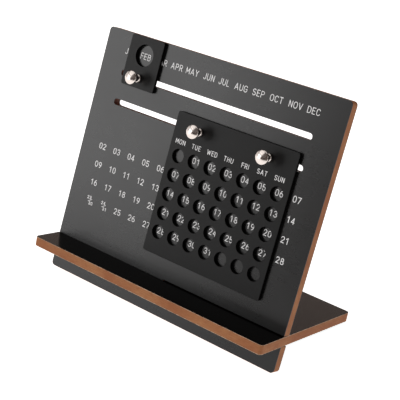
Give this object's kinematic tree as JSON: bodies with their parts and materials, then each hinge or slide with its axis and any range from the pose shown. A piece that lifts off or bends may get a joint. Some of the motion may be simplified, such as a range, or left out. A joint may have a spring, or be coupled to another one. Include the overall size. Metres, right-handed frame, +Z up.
{
  "type": "perpetual desk calendar",
  "caption": "Leaning desk calendar of crossed slit boards, with a month slider and a day slider whose round windows frame the date and the month.",
  "frame": {"origin": "centre of the footprint, on the desk", "axes": "+X to the right along the boards' long edges as the calendar is read, +Y to the rear, away from the reader, +Z up"},
  "size_m": [0.18, 0.0988, 0.1552],
  "materials": {
    "board_core": "bare fibreboard, laser-browned cut edge",
    "board_facing": "black, satin",
    "slider": "black, matt",
    "stud": "polished nickel plate",
    "guide": "natural nylon",
    "fastener": "zinc plated steel"
  },
  "bodies": {
    "stand": {"panel_core": "board_core", "panel_front_facing": "board_facing", "panel_rear_facing": "board_facing", "base_core": "board_core", "base_top_facing": "board_facing", "base_bottom_facing": "board_facing"},
    "month_carriage": {"month_slider": "slider", "month_knob": "stud", "month_guide_shoe": "guide", "month_washer": "fastener", "month_screw": "fastener"},
    "day_carriage": {"day_slider": "slider", "day_knob_left": "stud", "day_knob_right": "stud", "day_guide_bush_left": "guide", "day_guide_bush_right": "guide", "day_washer_left": "fastener", "day_washer_right": "fastener", "day_screw_left": "fastener", "day_screw_right": "fastener"}
  },
  "joints": [
    {"name": "month_slide", "type": "slide", "parent": "stand", "child": "month_carriage", "axis": [1, 0, 0], "range_m": [-0.0135, 0.1247]},
    {"name": "day_slide", "type": "slide", "parent": "stand", "child": "day_carriage", "axis": [1, 0, 0], "range_m": [-0.0695, 0.0197]}
  ]
}
